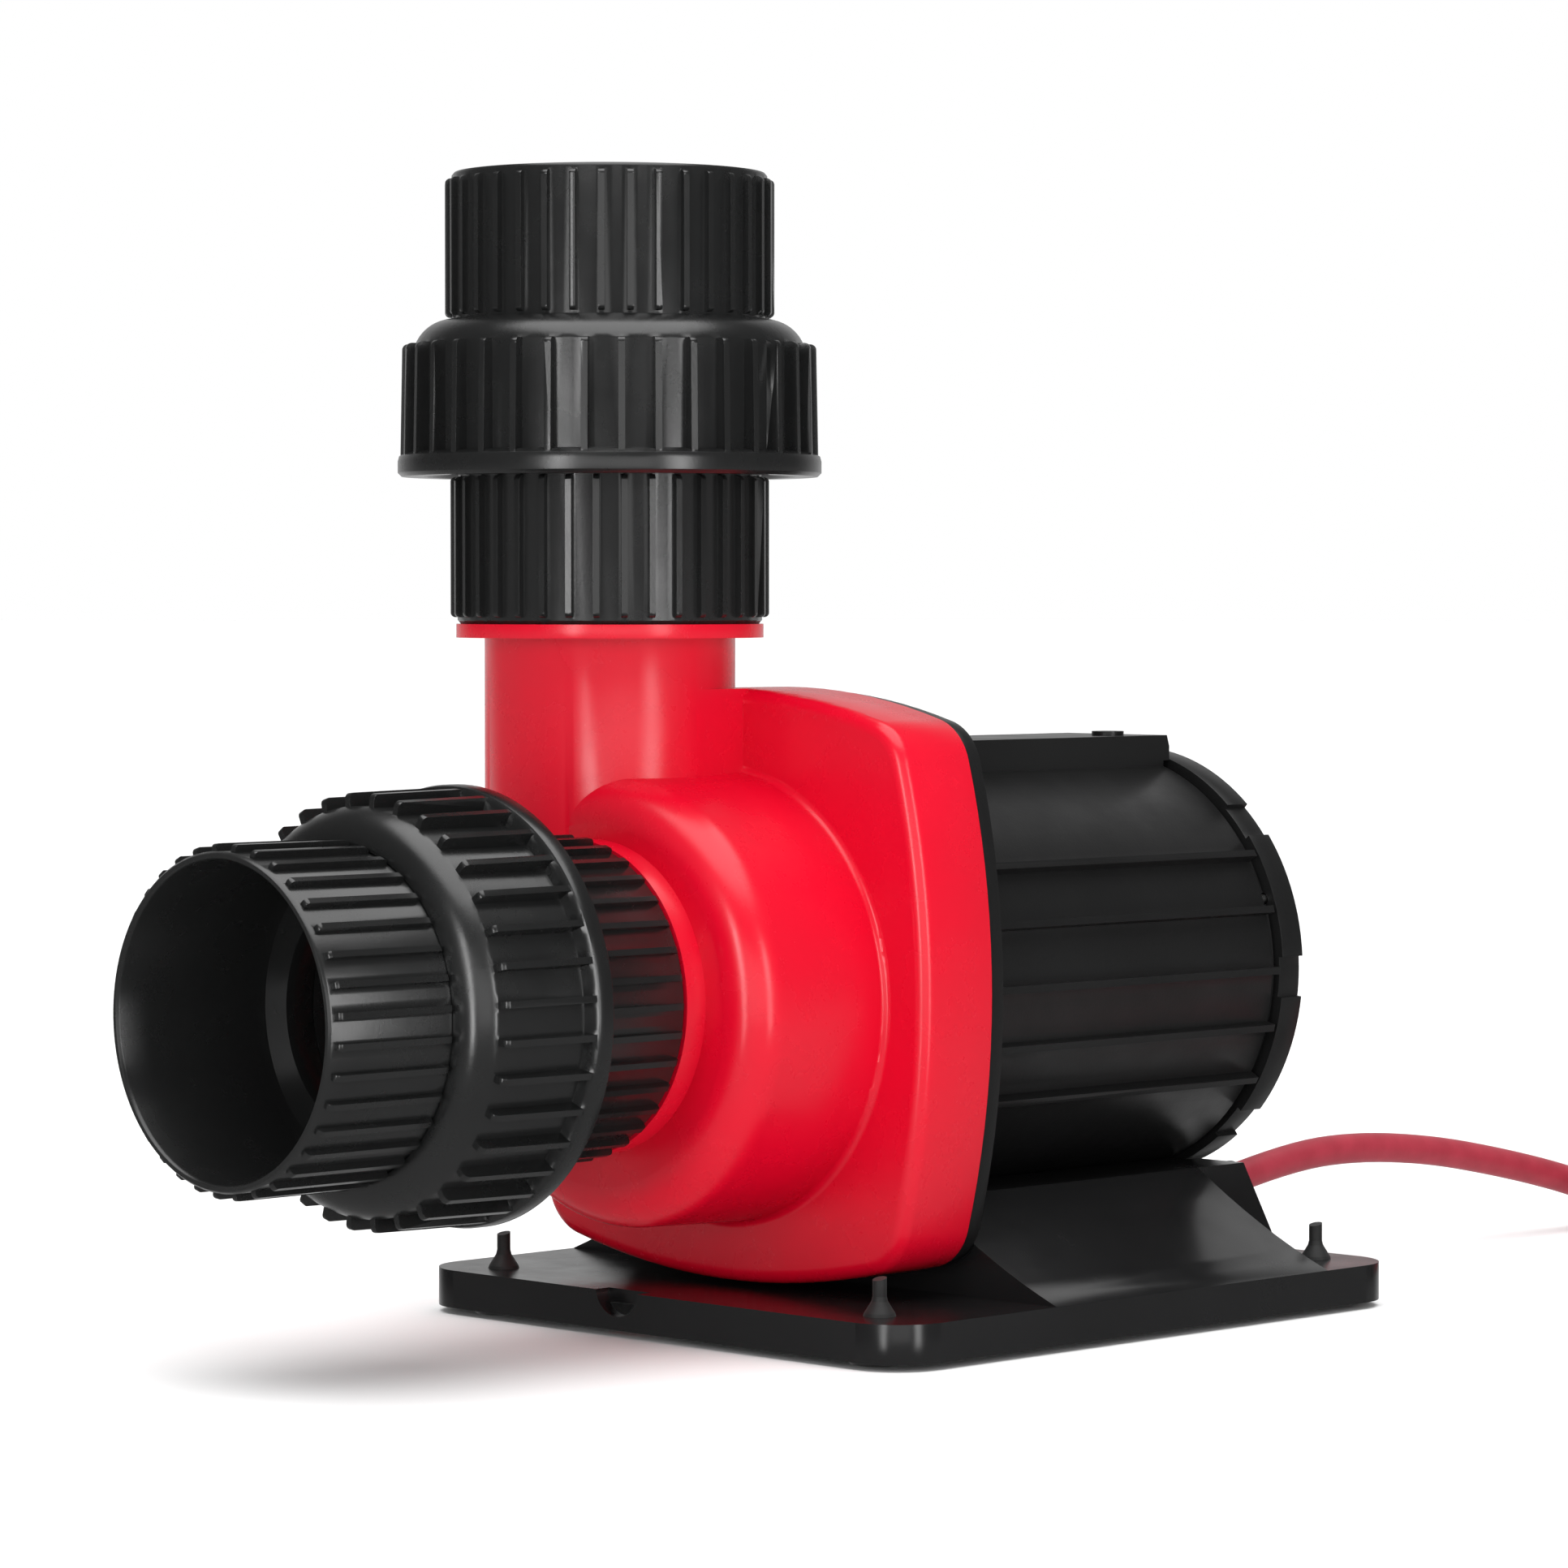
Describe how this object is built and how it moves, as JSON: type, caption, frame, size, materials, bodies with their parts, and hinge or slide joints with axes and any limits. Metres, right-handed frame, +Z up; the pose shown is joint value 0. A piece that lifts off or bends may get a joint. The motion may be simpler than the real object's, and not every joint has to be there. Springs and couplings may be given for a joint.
{
  "type": "wave maker pump",
  "caption": "Wet-rotor circulating pump on a skirted base plate with rubber feet, with screw unions for glued pipe on its front inlet and top outlet.",
  "frame": {"origin": "centre of the footprint at floor level, measured without the lead", "axes": "+Z up, -Y the way the inlet looks, +Y towards the motor's rear cap, +X to the right of someone facing the inlet"},
  "size_m": [0.1807, 0.505, 0.2454],
  "materials": {
    "red_moulding": "glossy injection-moulded ABS",
    "union_black": "satin black PVC",
    "seal_rubber": "moulded EPDM",
    "inner_plastic": "fine matt polymer",
    "ceramic": "polished alumina ceramic",
    "bush_carbon": "carbon-filled bearing polymer",
    "impeller_plastic": "glass-filled polymer",
    "magnet": "epoxy-coated ferrite",
    "motor_black": "satin black moulding",
    "lamination": "stacked electrical steel",
    "copper_wire": "enamelled copper wire",
    "circuit_board": "solder-masked laminate",
    "board_parts": "moulded component bodies",
    "screw_steel": "stainless steel",
    "base_black": "glossy black moulding",
    "foot_rubber": "soft black rubber",
    "cord_red": "matt red cable sheath",
    "connector_black": "matt black nylon"
  },
  "bodies": {
    "pump": {"volute_casing": "red_moulding", "inlet_adapter": "union_black", "outlet_adapter": "union_black", "inlet_union_seal": "seal_rubber", "outlet_union_seal": "seal_rubber", "volute_seal": "seal_rubber", "rear_cap_seal": "seal_rubber", "shaft_spider": "inner_plastic", "rotor_can": "inner_plastic", "pump_shaft": "ceramic", "front_thrust_washer": "ceramic", "rear_thrust_washer": "ceramic", "motor_housing": "motor_black", "rear_cap": "motor_black", "deck_plug": "motor_black", "stator_core": "lamination", "stator_windings": "copper_wire", "driver_board": "circuit_board", "board_parts": "board_parts", "rear_cap_screws": "screw_steel", "casing_screws": "screw_steel", "base_screws": "screw_steel", "base_plate": "base_black", "rubber_feet": "foot_rubber", "cable_gland": "foot_rubber", "power_cord": "cord_red", "cord_coil": "cord_red", "cord_tail": "cord_red", "cord_connector": "connector_black"},
    "rotor": {"impeller": "impeller_plastic", "rotor_hub": "inner_plastic", "rotor_magnet": "magnet", "front_bush": "bush_carbon", "rear_bush": "bush_carbon"},
    "inlet_tail": {"inlet_tailpiece": "union_black"},
    "inlet_nut": {"inlet_union_nut": "union_black"},
    "outlet_tail": {"outlet_tailpiece": "union_black"},
    "outlet_nut": {"outlet_union_nut": "union_black"}
  },
  "joints": [
    {"name": "rotor_spin", "type": "hinge", "parent": "pump", "child": "rotor", "pos_m": [0, 0, 0.0732], "axis": [0, 1, 0], "continuous": true},
    {"name": "inlet_union_travel", "type": "slide", "parent": "pump", "child": "inlet_tail", "axis": [0, -1, 0], "range_m": [0, 0.012]},
    {"name": "inlet_nut_turn", "type": "hinge", "parent": "inlet_tail", "child": "inlet_nut", "pos_m": [0, -0.09, 0.0732], "axis": [0, -1, 0], "range_deg": [0, 1080]},
    {"name": "outlet_union_travel", "type": "slide", "parent": "pump", "child": "outlet_tail", "axis": [0, 0, 1], "range_m": [0, 0.012]},
    {"name": "outlet_nut_turn", "type": "hinge", "parent": "outlet_tail", "child": "outlet_nut", "pos_m": [-0.0207, -0.0134, 0.198], "axis": [0, 0, 1], "range_deg": [0, 1080]}
  ],
  "couplings": [
    {"joint": "inlet_union_travel", "follows": "inlet_nut_turn", "m_per_rad": 0.00063662},
    {"joint": "outlet_union_travel", "follows": "outlet_nut_turn", "m_per_rad": 0.00063662}
  ]
}
